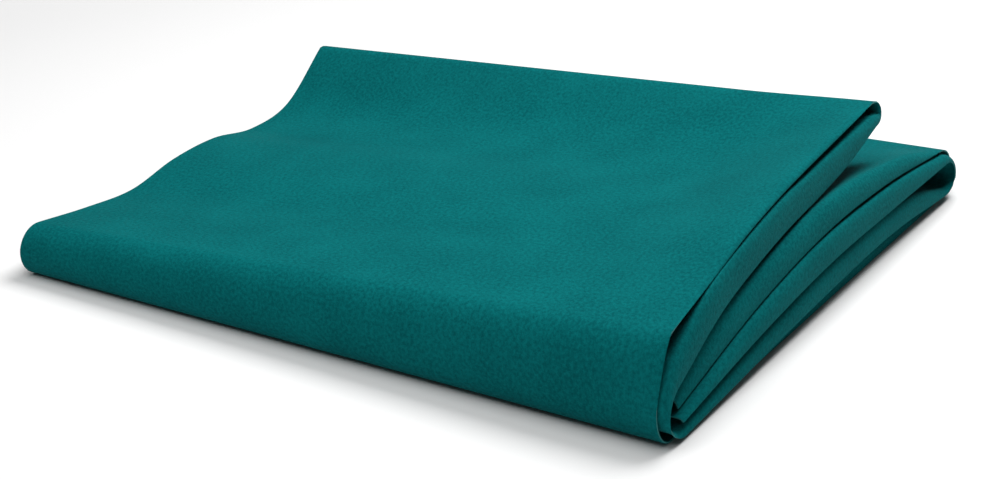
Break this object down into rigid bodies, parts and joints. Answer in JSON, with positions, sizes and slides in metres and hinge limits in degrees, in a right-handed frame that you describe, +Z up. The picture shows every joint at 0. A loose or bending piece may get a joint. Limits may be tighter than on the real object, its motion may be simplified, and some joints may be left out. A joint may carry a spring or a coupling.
{
  "type": "folded gaming table cloth",
  "caption": "Folded gaming-table cloth: one rectangular sheet, doubled and folded in three, with a top flap that opens about the front fold.",
  "frame": {"origin": "centre of the object's bounding box in plan, on the surface that it lies on", "axes": "+X along the front fold towards the cut edges that fan out, +Y from the front fold to the back folds, +Z up"},
  "size_m": [0.4054, 0.3762, 0.0789],
  "materials": {
    "cloth": "matt woven polyester cloth in plain teal, cut edges unhemmed"
  },
  "bodies": {
    "root": {"base_bottom_layer": "cloth", "base_upper_layer": "cloth", "tuck_top_layer": "cloth", "tuck_under_layer": "cloth", "back_fold_outer": "cloth", "back_fold_inner": "cloth", "front_fold_outer": "cloth", "front_fold_inner": "cloth"},
    "flap": {"flap_top_layer": "cloth", "flap_under_layer": "cloth", "flap_back_fold": "cloth"}
  },
  "joints": [
    {"name": "flap_open", "type": "hinge", "parent": "root", "child": "flap", "pos_m": [-0.00282, -0.18663, 0.02191], "axis": [0.9988, -0.0131, 0.0463], "range_deg": [0, 175], "deforming": ["front_fold_outer", "front_fold_inner"]}
  ]
}
